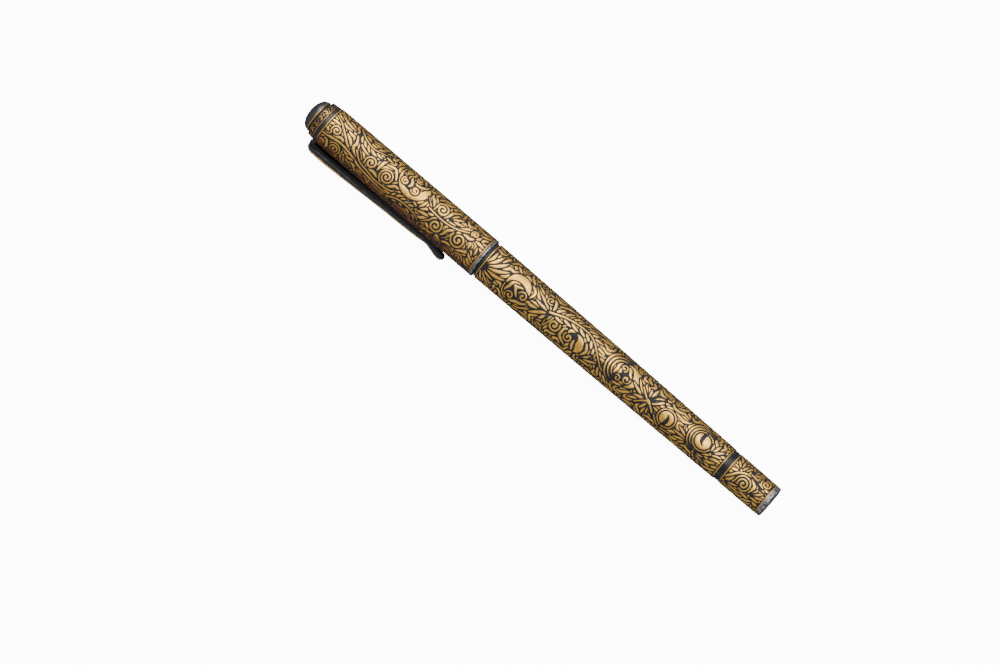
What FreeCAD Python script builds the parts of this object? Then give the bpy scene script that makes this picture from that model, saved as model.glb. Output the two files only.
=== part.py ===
"""A capped pocket pen holder whose nib is driven out of the barrel by turning the knob at its tail.

The pen's axis is X. The origin is the centre of the tail's flat face, and +X runs to the crown of the
cap. Z is up, with the pen lying on its side as it rests on a desk, its pocket clip touching the desk.
All sizes are millimetres.
"""
import FreeCAD, Part
import math
import os
import re

import Sketcher

DRIVING_SIZES = {
    # stations along the axis, from the tail's face
    "disc_front": 1.1,
    "knob_front": 12.4,
    "knob_ring_front": 13.2,
    "flange_back": 13.3,
    "barrel_back": 14.0,
    "barrel_middle": 50.0,
    "barrel_front": 87.0,
    "lip_back": 87.75,
    "sleeve_back": 88.5,
    "sleeve_front": 136.3,
    "washer_front": 137.1,
    "crown_back": 137.2,
    "groove_back": 138.95,
    "bead_back": 139.42,
    "dome_back": 139.8,
    "crown_tip": 142.0,
    "mouth": 104.0,
    "mouth_ring_back": 103.1,
    "grip_groove_back": 93.5,
    "grip_groove_front": 94.9,
    "cavity_end": 131.6,
    # outside radii
    "face_radius": 3.2,
    "knob_back_radius": 4.2,
    "knob_front_radius": 4.27,
    "ring_radius": 4.15,
    "barrel_back_radius": 4.35,
    "barrel_middle_radius": 4.74,
    "barrel_front_radius": 5.0,
    "collar_radius": 4.65,
    "lip_radius": 5.3,
    "cap_back_radius": 5.28,
    "cap_front_radius": 5.08,
    "washer_radius": 4.9,
    "crown_ring_radius": 4.86,
    "crown_band_radius": 4.62,
    "groove_radius": 4.12,
    "bead_radius": 4.18,
    "dome_radius": 4.06,
    "dome_curve": 4.9,
    "section_radius": 4.02,
    "cavity_radius": 4.1,
    # walls and clearances
    "sheet_wall": 0.42,
    "glue_gap": 0.02,
    "running_gap": 0.05,
    "edge_break": 0.12,
    "ring_groove_depth": 0.14,
    "grip_groove_depth": 0.4,
    "grip_ring_depth": 0.37,
    # the drive: bore, keyways, spiral tube, rod and pins
    "bore_radius": 3.05,
    "keyway_radius": 3.42,
    "keyway_width": 1.14,
    "keyway_back": 24.4,
    "tenon_back": 80.0,
    "tenon_radius": 3.7,
    "spiral_back": 21.0,
    "spiral_front": 53.0,
    "spiral_outer": 2.97,
    "spiral_inner": 2.45,
    "slot_width": 1.14,
    "lead": 16.0,
    "travel": 24.0,
    "drive_pin_place": 25.5,
    "drive_pin_radius": 0.5,
    "drive_pin_reach": 3.3,
    "rod_back": 23.5,
    "neck_back": 31.5,
    "rod_radius": 2.35,
    "neck_radius": 1.9,
    "shaft_radius": 1.4,
    "shaft_back": 3.6,
    "flange_front": 23.0,
    "bush_front": 20.9,
    "knob_pin_place": 7.4,
    "knob_pin_radius": 0.5,
    "disc_spigot_radius": 1.2,
    "stud_radius": 1.5,
    "stud_back": 133.2,
    # the nib and what holds it
    "ferrule_back": 68.0,
    "ferrule_front": 80.5,
    "ferrule_radius": 2.9,
    "ferrule_bore": 2.66,
    "clamp_radius": 2.37,
    "nib_outer": 2.62,
    "nib_inner": 2.42,
    "nib_back": 70.6,
    "nib_shoulder": 86.5,
    "nib_tip": 102.5,
    "nib_tip_outer": 0.75,
    "nib_tip_inner": 0.55,
    "nib_half_width": 2.3,
    "vent_place": 92.0,
    "vent_radius": 0.55,
    "slit_half_width": 0.06,
    # the pocket clip, in the plane through the axis that it lies in
    "clip_width": 4.4,
    "clip_upper_depth": 1.3,
    "clip_lower_depth": 1.0,
    "clip_root": 137.5,
    "clip_root_radius": 0.45,
    "clip_hinge_height": 6.2,
    "clip_bend_place": 134.9,
    "clip_bend_height": 7.79,
    "clip_bend_outer": 2.6,
    "clip_bend_inner": 1.9,
    "clip_crest_place": 131.5,
    "clip_crest_height": 7.85,
    "clip_upper_place": 125.4,
    "clip_upper_height": 7.55,
    "clip_middle_place": 116.0,
    "clip_middle_height": 7.12,
    "clip_lower_place": 106.6,
    "clip_lower_height": 6.85,
    "clip_pinch_place": 100.9,
    "clip_pinch_height": 6.45,
    "clip_lift_place": 97.3,
    "clip_lift_height": 7.4,
    "clip_tip_place": 95.6,
    "clip_tip_height": 7.5,
    "clip_taper_start": 130.0,
    "clip_tip_half_width": 1.7,
    "clip_shoulder_half_width": 1.4,
    "clip_nose_half_width": 0.8,
    "clip_tip_taper": 1.6,
    "clip_nose_taper": 0.5,
    "clip_droop": 24.0,
    "lug_width": 3.4,
    "lug_gap": 0.07,
    "lug_clearance": 0.15,
    "lug_root_depth": 0.6,
}
doc = FreeCAD.newDocument("pen_holder")
sheet = doc.addObject("Spreadsheet::Sheet", "Sizes")
for row, (alias, size) in enumerate(DRIVING_SIZES.items(), 1):
    sheet.set(f"A{row}", alias)
    sheet.set(f"B{row}", str(size))
    sheet.setAlias(f"B{row}", alias)
doc.recompute()

subparts = []


def value(text):
    """The number that a sum of sizes and plain numbers comes to, such as "mouth - 0.8"."""
    total = 0.0
    for sign, scale, term in re.findall(r"([+-]?)\s*(?:([\d.]+)\s*\*\s*)?([A-Za-z_]+|[\d.]+)", text):
        size = DRIVING_SIZES[term] if term in DRIVING_SIZES else float(term)
        total += (-1 if sign == "-" else 1) * float(scale or 1) * size
    return total


def bound(text):
    """The same sum as an expression on the spreadsheet."""
    return re.sub(r"[A-Za-z_]+", lambda name: "Sizes." + name.group(0), text)


def make_body(label):
    body = doc.addObject("PartDesign::Body", label)
    body.Label = label
    subparts.append(body)
    return body


def start_sketch(body, plane, name):
    sketch = body.newObject("Sketcher::SketchObject", name)
    base = next(f for f in body.Origin.OriginFeatures if f.Role == plane)
    sketch.AttachmentSupport = [(base, "")]
    sketch.MapMode = "FlatFace"
    return sketch


def hold(sketch, kind, *where, text):
    """One dimension of a sketch, driven by the spreadsheet. A distance to the left of the origin, or
    below it, is measured the other way round, because a sketch's distances are positive."""
    if value(text) < 0:
        index = sketch.addConstraint(Sketcher.Constraint(kind, *where[2:], *where[:2], -value(text)))
        sketch.setExpression(f"Constraints[{index}]", f"-({bound(text)})")
    else:
        index = sketch.addConstraint(Sketcher.Constraint(kind, *where, value(text)))
        sketch.setExpression(f"Constraints[{index}]", bound(text))


def draw_outline(body, points, plane="XZ_Plane", name="outline", arcs=None):
    """A closed outline through points, each two sums of sizes. arcs bends the line that starts at a
    point to a radius, bulging to its left when the sign given with it is 1."""
    arcs = arcs or {}
    sketch = start_sketch(body, plane, name)
    places = [FreeCAD.Vector(value(x), value(y), 0) for x, y in points]
    ends = []
    for i, start in enumerate(places):
        end = places[(i + 1) % len(places)]
        ends.append((1, 2))
        if i in arcs:
            radius, side = value(arcs[i][0]), arcs[i][1]
            chord = end - start
            rise = radius - math.sqrt(max(0.0, radius * radius - chord.Length ** 2 / 4))
            left = FreeCAD.Vector(-chord.y, chord.x, 0).normalize()
            middle = (start + end) * 0.5 + left * (side * rise)
            if side > 0:
                ends[i] = (2, 1)
                start, end = end, start
            sketch.addGeometry(Part.Arc(start, middle, end))
        else:
            sketch.addGeometry(Part.LineSegment(start, end))
    for i, (x, y) in enumerate(points):
        last = (i - 1) % len(points)
        sketch.addConstraint(Sketcher.Constraint("Coincident", last, ends[last][1], i, ends[i][0]))
        if value(x) == 0:
            sketch.addConstraint(Sketcher.Constraint("PointOnObject", i, ends[i][0], -2))
        else:
            hold(sketch, "DistanceX", -1, 1, i, ends[i][0], text=x)
        if value(y) == 0:
            sketch.addConstraint(Sketcher.Constraint("PointOnObject", i, ends[i][0], -1))
        else:
            hold(sketch, "DistanceY", -1, 1, i, ends[i][0], text=y)
    for i, (radius, _) in arcs.items():
        hold(sketch, "Radius", i, text=radius)
    return sketch


def draw_circle(body, x, y, radius, plane, name="hole"):
    sketch = start_sketch(body, plane, name)
    centre = FreeCAD.Vector(value(x), value(y), 0)
    sketch.addGeometry(Part.Circle(centre, FreeCAD.Vector(0, 0, 1), value(radius)))
    hold(sketch, "DistanceX", -1, 1, 0, 3, text=x)
    if value(y) == 0:
        sketch.addConstraint(Sketcher.Constraint("PointOnObject", 0, 3, -1))
    else:
        hold(sketch, "DistanceY", -1, 1, 0, 3, text=y)
    hold(sketch, "Radius", 0, text=radius)
    return sketch


def turn(body, sketch, kind="PartDesign::Revolution", angle=360):
    feature = body.newObject(kind, "turned")
    feature.Profile = sketch
    feature.ReferenceAxis = (sketch, ["H_Axis"])
    feature.Angle = angle
    feature.Midplane = angle != 360
    sketch.Visibility = False
    return feature


def turned(label, points, arcs=None):
    """A lathe-turned piece: its half section is revolved about the pen's axis."""
    body = make_body(label)
    turn(body, draw_outline(body, points, arcs=arcs))
    return body


def cut_across(body, sketch, width=None):
    """Cuts a sketch through the body to both sides, or to half of width on each side."""
    doc.recompute()
    before = body.Shape.Volume
    pocket = body.newObject("PartDesign::Pocket", "cut")
    pocket.Profile = sketch
    pocket.Midplane = True
    if width is None:
        pocket.Type = "ThroughAll"
    else:
        pocket.setExpression("Length", bound(width))
    doc.recompute()
    if body.Shape.Volume >= before - 1e-6:
        raise RuntimeError(f"{body.Label}: {sketch.Label} removed nothing")
    return pocket


def pad(body, sketch, width):
    feature = body.newObject("PartDesign::Pad", "pad")
    feature.Profile = sketch
    feature.Midplane = True
    feature.setExpression("Length", bound(width))
    return feature


def box_points(x_low, x_high, y_low, y_high):
    return [(x_low, y_low), (x_high, y_low), (x_high, y_high), (x_low, y_high)]


def make_knob():
    """The tail knob: a hard-rubber core in an engraved sleeve, pinned to the drive shaft."""
    turned("knob_end_disc", [("0", "0"), ("0", "face_radius"), ("0.25", "knob_back_radius - 0.5"),
                             ("0.55", "knob_back_radius - 0.22"), ("0.95", "knob_back_radius - 0.08"),
                             ("disc_front", "knob_back_radius - edge_break"),
                             ("disc_front", "disc_spigot_radius"),
                             ("disc_front + 1.4", "disc_spigot_radius"), ("disc_front + 1.4", "0")])
    turned("knob_sleeve", [("disc_front", "knob_back_radius - sheet_wall"),
                           ("disc_front", "knob_back_radius"),
                           ("knob_front", "knob_front_radius"),
                           ("knob_front", "knob_front_radius - sheet_wall")])
    core = "knob_back_radius - sheet_wall - glue_gap"
    body = turned("knob_core", [("disc_front + glue_gap", "disc_spigot_radius + glue_gap"),
                                ("disc_front + glue_gap", core), ("knob_front - glue_gap", core),
                                ("knob_front - glue_gap", "shaft_radius + glue_gap"),
                                ("shaft_back - 0.2", "shaft_radius + glue_gap"),
                                ("shaft_back - 0.2", "disc_spigot_radius + glue_gap")])
    cut_across(body, draw_circle(body, "knob_pin_place", "0", "knob_pin_radius + glue_gap", "XY_Plane"))
    turned("knob_front_ring", [("knob_front", "shaft_radius + glue_gap"), ("knob_front", "ring_radius"),
                               ("knob_front + 0.3", "ring_radius"),
                               ("knob_front + 0.38", "ring_radius - ring_groove_depth"),
                               ("knob_front + 0.46", "ring_radius"), ("knob_ring_front", "ring_radius"),
                               ("knob_ring_front", "shaft_radius + glue_gap")])
    body = turned("drive_shaft", [("shaft_back", "0"), ("shaft_back", "shaft_radius"),
                                  ("spiral_back", "shaft_radius"),
                                  ("spiral_back", "spiral_inner - glue_gap"),
                                  ("flange_front", "spiral_inner - glue_gap"), ("flange_front", "0")])
    cut_across(body, draw_circle(body, "knob_pin_place", "0", "knob_pin_radius + glue_gap", "XY_Plane"))
    pin = doc.addObject("Part::Cylinder", "knob_pin")
    pin.Label = "knob_pin"
    pin.setExpression("Radius", "Sizes.knob_pin_radius")
    pin.setExpression("Height", "2 * (Sizes.knob_back_radius - Sizes.sheet_wall - 0.1)")
    pin.setExpression("Placement.Base.x", "Sizes.knob_pin_place")
    pin.setExpression("Placement.Base.z", "-(Sizes.knob_back_radius - Sizes.sheet_wall - 0.1)")
    subparts.append(pin)


def slot_cutter(turn_degrees):
    """One helical slot's cutter: a slot-wide bar swept along a left-handed helix about the axis."""
    helix = doc.addObject("Part::Helix", "slot_path")
    helix.LocalCoord = "Left-handed"
    helix.setExpression("Pitch", "Sizes.lead")
    helix.setExpression("Height", "Sizes.travel")
    helix.setExpression("Radius", "Sizes.spiral_inner")
    rise = math.atan2(value("lead"), 2 * math.pi * value("spiral_inner"))
    half = FreeCAD.Vector(0, math.sin(rise), math.cos(rise)) * (value("slot_width") / 2)
    low = FreeCAD.Vector(value("spiral_inner") - 0.6, 0, 0)
    high = FreeCAD.Vector(value("spiral_outer") + 0.5, 0, 0)
    section = doc.addObject("Part::Feature", "slot_section")
    section.Shape = Part.makePolygon([low - half, high - half, high + half, low + half, low - half])
    sweep = doc.addObject("Part::Sweep", "slot_cutter")
    sweep.Sections = [section]
    sweep.Spine = (helix, ["Edge1"])
    sweep.Solid = True
    sweep.Frenet = True
    turned_to_axis = FreeCAD.Rotation(FreeCAD.Vector(1, 1, 1), 120)
    rolled = FreeCAD.Rotation(FreeCAD.Vector(1, 0, 0), turn_degrees)
    start = FreeCAD.Vector(value("drive_pin_place"), 0, 0)
    sweep.Placement = FreeCAD.Placement(start, rolled * turned_to_axis)
    return sweep


def make_spiral():
    """The spiral tube: two opposite helical slots of one and a half turns, closed at both ends."""
    blank = doc.addObject("PartDesign::Body", "spiral_blank")
    wall = box_points("spiral_back", "spiral_front", "spiral_inner", "spiral_outer")
    turn(blank, draw_outline(blank, wall))
    drills = []
    for place in ("Sizes.drive_pin_place", "Sizes.drive_pin_place + Sizes.travel"):
        drill = doc.addObject("Part::Cylinder", "slot_end")
        drill.setExpression("Radius", "Sizes.slot_width / 2")
        drill.Height = 8
        drill.Placement = FreeCAD.Placement(FreeCAD.Vector(0, 4, 0),
                                            FreeCAD.Rotation(FreeCAD.Vector(1, 0, 0), 90))
        drill.setExpression("Placement.Base.x", place)
        drills.append(drill)
    spiral = blank
    for number, tool in enumerate([slot_cutter(0), slot_cutter(180), *drills], 1):
        cut = doc.addObject("Part::Cut", f"spiral_cut_{number}")
        cut.Base = spiral
        cut.Tool = tool
        spiral = cut
    spiral.Label = "spiral_tube"
    subparts.append(spiral)


def make_carrier():
    """The nib carrier: a rod with a cross pin that rides in the spiral's slots and the keyways."""
    front = "ferrule_bore - glue_gap"
    body = turned("carrier_rod", [("rod_back", "0"), ("rod_back", "rod_radius"),
                                  ("neck_back - 0.5", "rod_radius"),
                                  ("neck_back", "neck_radius"), ("ferrule_back - 3", "neck_radius"),
                                  ("ferrule_back - 2.4", "ferrule_radius - 0.1"),
                                  ("ferrule_back", "ferrule_radius - 0.1"), ("ferrule_back", front),
                                  ("nib_back - 0.2", front), ("nib_back - 0.2", "0")])
    cut_across(body, draw_circle(body, "drive_pin_place", "0", "drive_pin_radius + glue_gap", "XZ_Plane"))
    pin = doc.addObject("Part::Cylinder", "drive_pin")
    pin.Label = "drive_pin"
    pin.setExpression("Radius", "Sizes.drive_pin_radius")
    pin.setExpression("Height", "2 * Sizes.drive_pin_reach")
    pin.Placement = FreeCAD.Placement(FreeCAD.Vector(0, 0, 0), FreeCAD.Rotation(FreeCAD.Vector(1, 0, 0), 90))
    pin.setExpression("Placement.Base.x", "Sizes.drive_pin_place")
    pin.setExpression("Placement.Base.y", "Sizes.drive_pin_reach")
    subparts.append(pin)
    turned("nib_ferrule", [("ferrule_back", "ferrule_bore"), ("ferrule_back", "ferrule_radius"),
                           ("ferrule_front - 0.3", "ferrule_radius"),
                           ("ferrule_front", "ferrule_radius - edge_break"),
                           ("ferrule_front", "ferrule_bore")])
    body = turned("nib_clamp", [("nib_back", "clamp_radius - 0.35"), ("nib_back", "clamp_radius"),
                                ("ferrule_front - 0.6", "clamp_radius"),
                                ("ferrule_front", "clamp_radius - edge_break"),
                                ("ferrule_front", "clamp_radius - 0.35")])
    below = draw_outline(body, box_points("nib_back + 1.5", "ferrule_front + 1", "-3", "-1"), name="below")
    cut_across(body, below, "1.6")


def make_nib():
    """A steel pen nib: a curved sheet that narrows and dips to its point, slit to a round vent."""
    body = make_body("nib")
    profile = draw_outline(body, [("nib_back", "nib_inner"), ("nib_back", "nib_outer"),
                                  ("nib_shoulder", "nib_outer"), ("nib_tip", "nib_tip_outer"),
                                  ("nib_tip", "nib_tip_inner"), ("nib_shoulder", "nib_inner")],
                           arcs={2: ("70", 1), 4: ("70", -1)})
    turn(body, profile, angle=150)
    for side, name in (("", "left_side"), ("-", "right_side")):
        outline = [("nib_shoulder - 3", side + "4"), ("nib_shoulder - 3", side + "nib_half_width"),
                   ("nib_shoulder", side + "nib_half_width"), ("nib_shoulder + 6", side + "1.5"),
                   ("nib_tip - 4", side + "0.55"), ("nib_tip - 0.2", side + "0.22"),
                   ("nib_tip + 1", side + "0.18"), ("nib_tip + 1", side + "4")]
        cut_across(body, draw_outline(body, outline, "XY_Plane", name))
    cut_across(body, draw_circle(body, "vent_place", "0", "vent_radius", "XY_Plane", "vent"))
    slit = box_points("vent_place", "nib_tip + 1", "-slit_half_width", "slit_half_width")
    cut_across(body, draw_outline(body, slit, "XY_Plane", "slit"))


def make_barrel():
    """The barrel: a hard-rubber tube in an engraved sleeve, with the front section and rear bush."""
    turned("barrel_sleeve", [("barrel_back", "barrel_back_radius - sheet_wall"),
                             ("barrel_back", "barrel_back_radius"),
                             ("barrel_middle", "barrel_middle_radius"),
                             ("barrel_front", "barrel_front_radius"),
                             ("barrel_front", "barrel_front_radius - sheet_wall"),
                             ("barrel_middle", "barrel_middle_radius - sheet_wall")])
    skin = " - sheet_wall - glue_gap"
    body = turned("barrel_tube", [("barrel_back + glue_gap", "bore_radius"),
                                  ("barrel_back + glue_gap", "barrel_back_radius" + skin),
                                  ("barrel_middle", "barrel_middle_radius" + skin),
                                  ("barrel_front", "barrel_front_radius" + skin),
                                  ("barrel_front", "tenon_radius + glue_gap"),
                                  ("tenon_back", "tenon_radius + glue_gap"), ("tenon_back", "bore_radius")])
    keyways = box_points("keyway_back", "tenon_back + 0.01", "-keyway_radius", "keyway_radius")
    cut_across(body, draw_outline(body, keyways, "XY_Plane", "keyways"), "keyway_width")
    turned("rear_bush", [("flange_back", "shaft_radius + running_gap"), ("flange_back", "ring_radius"),
                         ("barrel_back - 0.46", "ring_radius"),
                         ("barrel_back - 0.38", "ring_radius - ring_groove_depth"),
                         ("barrel_back - 0.3", "ring_radius"), ("barrel_back", "ring_radius"),
                         ("barrel_back", "bore_radius - glue_gap"),
                         ("bush_front", "bore_radius - glue_gap"),
                         ("bush_front", "shaft_radius + running_gap")])
    turned("grip_section", [("tenon_back + glue_gap", "bore_radius"),
                            ("tenon_back + glue_gap", "tenon_radius"),
                            ("barrel_front + glue_gap", "tenon_radius"),
                            ("barrel_front + glue_gap", "collar_radius"),
                            ("lip_back - running_gap", "collar_radius"),
                            ("lip_back - running_gap", "section_radius"),
                            ("grip_groove_back", "section_radius"),
                            ("grip_groove_back", "section_radius - grip_groove_depth"),
                            ("grip_groove_front", "section_radius - grip_groove_depth"),
                            ("grip_groove_front", "section_radius"), ("mouth - 4", "section_radius"),
                            ("mouth_ring_back", "section_radius - 0.3"),
                            ("mouth_ring_back", "bore_radius")])
    turned("mouth_ring", [("mouth_ring_back + glue_gap", "bore_radius"),
                          ("mouth_ring_back + glue_gap", "section_radius - 0.3"),
                          ("mouth - 0.3", "section_radius - 0.34"), ("mouth", "section_radius - 0.6"),
                          ("mouth", "bore_radius + 0.15"), ("mouth - 0.15", "bore_radius")])
    turned("cap_grip_ring", [("grip_groove_back + running_gap", "section_radius - grip_ring_depth"),
                             ("grip_groove_back + running_gap", "section_radius"),
                             ("grip_groove_back + grip_groove_depth", "section_radius + running_gap"),
                             ("grip_groove_front - grip_groove_depth", "section_radius + running_gap"),
                             ("grip_groove_front - running_gap", "section_radius"),
                             ("grip_groove_front - running_gap", "section_radius - grip_ring_depth")])


def make_cap():
    """The cap: a closed hard-rubber tube in an engraved sleeve, under a screwed-on domed crown."""
    turned("cap_lip_ring", [("lip_back", "cavity_radius"), ("lip_back", "lip_radius - 0.22"),
                            ("lip_back + 0.2", "lip_radius"), ("sleeve_back - glue_gap", "lip_radius"),
                            ("sleeve_back - glue_gap", "cavity_radius")])
    turned("cap_sleeve", [("sleeve_back", "cap_back_radius - sheet_wall"),
                          ("sleeve_back", "cap_back_radius"),
                          ("sleeve_front", "cap_front_radius"),
                          ("sleeve_front", "cap_front_radius - sheet_wall")])
    skin = " - sheet_wall - glue_gap"
    turned("cap_tube", [("sleeve_back", "cavity_radius"), ("sleeve_back", "cap_back_radius" + skin),
                        ("sleeve_front", "cap_front_radius" + skin),
                        ("sleeve_front", "stud_radius + glue_gap"),
                        ("cavity_end", "stud_radius + glue_gap"), ("cavity_end", "cavity_radius - 1"),
                        ("cavity_end - 1", "cavity_radius")])
    turned("crown_ring", [("crown_back", "stud_radius + glue_gap"),
                          ("crown_back", "crown_ring_radius - 0.08"),
                          ("crown_back + 0.1", "crown_ring_radius"),
                          ("groove_back - 0.1", "crown_band_radius"),
                          ("groove_back", "groove_radius"), ("bead_back", "groove_radius"),
                          ("bead_back + 0.08", "bead_radius"), ("dome_back", "bead_radius"),
                          ("dome_back", "stud_radius + glue_gap")])
    turned("crown_dome", [("dome_back + glue_gap", "0"), ("dome_back + glue_gap", "dome_radius"),
                          ("crown_tip", "0")], arcs={1: ("dome_curve", 1)})
    turned("crown_stud", [("stud_back", "0"), ("stud_back", "stud_radius"),
                          ("dome_back", "stud_radius"), ("dome_back", "0")])


def make_clip():
    """The pocket clip: a steel blade that springs from a lug on the washer under the crown."""
    droop = FreeCAD.Placement(FreeCAD.Vector(0, 0, 0),
                              FreeCAD.Rotation(FreeCAD.Vector(1, 0, 0), -90 - value("clip_droop")))
    body = turned("clip_washer", box_points("sleeve_front + glue_gap", "washer_front",
                                            "stud_radius + glue_gap", "washer_radius"))
    lug_top = "clip_hinge_height - clip_root_radius - lug_gap"
    lug = draw_outline(body, [("sleeve_front + glue_gap", "washer_radius - lug_root_depth"),
                              ("washer_front", "washer_radius - lug_root_depth"),
                              ("washer_front", "crown_ring_radius + lug_clearance"),
                              ("clip_root", "crown_ring_radius + lug_clearance"),
                              ("clip_root", lug_top), ("sleeve_front + glue_gap", lug_top)], name="lug")
    pad(body, lug, "lug_width")
    body.Placement = droop
    body = make_body("clip_blade")
    depths = {"bend": "upper", "crest": "upper", "upper": "upper", "middle": "upper", "lower": "upper",
              "pinch": "lower", "lift": "lower", "tip": "lower"}
    outer = [(f"clip_{bend}_place", f"clip_{bend}_height") for bend in depths]
    inner = [(f"clip_{bend}_place", f"clip_{bend}_height - clip_{depth}_depth")
             for bend, depth in depths.items()]
    root = [("clip_root", "clip_hinge_height"),
            ("clip_root - clip_root_radius", "clip_hinge_height - clip_root_radius"),
            ("clip_root - 2 * clip_root_radius", "clip_hinge_height")]
    outline = [*root, *inner, *reversed(outer)]
    rounds = {0: ("clip_root_radius", 1), 1: ("clip_root_radius", 1), 2: ("clip_bend_inner", -1),
              len(outline) - 1: ("clip_bend_outer", 1)}
    pad(body, draw_outline(body, outline, name="side_view", arcs=rounds), "clip_width")
    for side, name in (("", "left_taper"), ("-", "right_taper")):
        taper = [("clip_taper_start", side + "clip_width"), ("clip_taper_start", side + "0.5 * clip_width"),
                 ("clip_tip_place + clip_tip_taper", side + "clip_tip_half_width"),
                 ("clip_tip_place + clip_nose_taper", side + "clip_shoulder_half_width"),
                 ("clip_tip_place", side + "clip_nose_half_width"),
                 ("clip_tip_place - 1", side + "clip_nose_half_width"),
                 ("clip_tip_place - 1", side + "clip_width")]
        cut_across(body, draw_outline(body, taper, "XY_Plane", name))
    body.Placement = droop


def write_parts():
    """Writes each sub-part, named by its label, once its features and its shape are sound."""
    doc.recompute()
    for item in doc.Objects:
        if "Invalid" in item.State or "Error" in item.State:
            raise RuntimeError(f"{item.Label} failed to compute: {item.State}")
    os.makedirs("parts", exist_ok=True)
    for part in subparts:
        if part.Shape.isNull() or not part.Shape.isValid() or len(part.Shape.Solids) != 1:
            raise RuntimeError(f"{part.Label} is not one valid solid")
        part.Shape.exportStep(f"parts/{part.Label}.step")


make_knob()
make_spiral()
make_carrier()
make_nib()
make_barrel()
make_cap()
make_clip()
write_parts()
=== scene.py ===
"""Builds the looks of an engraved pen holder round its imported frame.

The pen lies along +X with its tail at the origin, and +Z is up. Each engraved sleeve is drawn rolled
out flat: u runs from the sleeve's crown end towards the tail, and v runs round it, from the top of the
pen towards the clip, both in millimetres. Every other length is in metres.
"""

import math
import random

import bmesh
import bpy
import numpy as np
from mathutils import Matrix, Vector


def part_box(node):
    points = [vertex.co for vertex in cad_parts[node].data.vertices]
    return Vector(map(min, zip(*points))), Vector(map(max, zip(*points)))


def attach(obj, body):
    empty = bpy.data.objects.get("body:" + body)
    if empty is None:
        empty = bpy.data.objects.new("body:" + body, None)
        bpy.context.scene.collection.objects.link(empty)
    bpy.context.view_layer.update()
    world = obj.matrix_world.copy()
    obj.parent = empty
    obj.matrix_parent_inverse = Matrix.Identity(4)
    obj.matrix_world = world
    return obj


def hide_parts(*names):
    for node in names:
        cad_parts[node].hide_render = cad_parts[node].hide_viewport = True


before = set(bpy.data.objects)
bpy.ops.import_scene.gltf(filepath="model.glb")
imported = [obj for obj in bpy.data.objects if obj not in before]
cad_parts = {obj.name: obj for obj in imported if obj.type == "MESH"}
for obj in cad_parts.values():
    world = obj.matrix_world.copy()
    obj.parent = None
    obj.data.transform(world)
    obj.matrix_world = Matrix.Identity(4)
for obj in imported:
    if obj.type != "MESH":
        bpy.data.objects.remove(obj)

bl_info = {
    "name": "Engraved pen holder",
    "version": (1, 0, 0),
    "blender": (4, 5, 0),
    "location": "3D View > Sidebar > Pen",
    "description": "Builds the engraved pen holder, its stage and its camera",
    "category": "Add Mesh",
}

MM = 0.001
CLIP_DROOP = math.radians(24)
CLIP_SIDE = Vector((0, math.cos(CLIP_DROOP), -math.sin(CLIP_DROOP)))
CLIP_ACROSS = Vector((0, math.sin(CLIP_DROOP), math.cos(CLIP_DROOP)))
PEN_MIDDLE = Vector((0.07, 0, 0))
PAPER_HEIGHT = -5.3 * MM


def span(node):
    """How far a CAD node reaches along the pen, and its greatest radius."""
    low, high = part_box(node)
    return low.x, high.x, max(high.z, -low.z)


# ---------------------------------------------------------------- settings

def length(name, default, text):
    return bpy.props.FloatProperty(name=name, default=default, description=text, unit="LENGTH", min=0)


def colour(name, default, text):
    return bpy.props.FloatVectorProperty(name=name, default=default, description=text, subtype="COLOR",
                                         size=3, min=0, max=1)


def share(name, default, text):
    return bpy.props.FloatProperty(name=name, default=default, description=text, subtype="FACTOR",
                                   min=0, max=1)


class EngravingSettings(bpy.types.PropertyGroup):
    relief: length("Relief", 0.055 * MM, "How far the gilt scrolls stand above the ground")
    crown: length("Crown", 0.02 * MM, "How much a broad stroke rises towards its middle")
    cut: length("Cut line", 0.30 * MM, "Width of the ground left between strokes that meet")
    cap_pitch: length("Cap mesh", 0.13 * MM, "Size of the mesh faces on the cap's sleeve")
    barrel_pitch: length("Barrel mesh", 0.15 * MM, "Size of the mesh faces on the barrel's sleeve")
    knob_pitch: length("Knob mesh", 0.10 * MM, "Size of the mesh faces on the knob's sleeve")
    seed: bpy.props.IntProperty(name="Seed", default=7, description="Start of the small filling leaves")


class ColourSettings(bpy.types.PropertyGroup):
    gold: colour("Gold", (0.86, 0.505, 0.10), "Polished gilding")
    gold_deep: colour("Deep gold", (0.64, 0.35, 0.06), "Gilding in the hollows and where it is thin")
    # Painted shade: the dark reddish brown that tints the gold beside the clip, where the cap lies in shade
    # under it; on the crown ring it is an even tint.
    shade_and_copper_tint: colour("Copper", (0.25, 0.075, 0.025), "Painted shade beside the clip, and an even tint on the crown ring")
    ground: colour("Ground", (0.009, 0.009, 0.011), "Blackened ground between the scrolls")
    ground_worn: colour("Worn ground", (0.04, 0.04, 0.046), "Ground rubbed grey")
    silver: colour("Silver", (0.30, 0.30, 0.32), "Lip and end bands")
    lacquer: colour("Lacquer", (0.008, 0.008, 0.010), "Clip, crown and rings")
    wear: share("Wear", 0.45, "How much of the gilding and lacquer is rubbed")


class StageSettings(bpy.types.PropertyGroup):
    camera_height: length("Camera height", 1.5, "Height of the camera above the pen")
    camera_past_tail: length("Past the tail", 0.093, "How far beyond the tail the camera hangs")
    view_width: length("View width", 0.2335, "Width that the picture covers at the pen")
    floor_size: length("Floor", 6.0, "Width of the floor")
    floor: colour("Floor colour", (0.93, 0.93, 0.935), "Paper under the pen")
    glow: bpy.props.FloatProperty(name="Light table", default=12.0, min=0,
                                  description="Light from below the paper")
    room: bpy.props.FloatProperty(name="Room light", default=0.75, min=0,
                                  description="Strength of the white room")


# ---------------------------------------------------------------- materials

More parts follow.
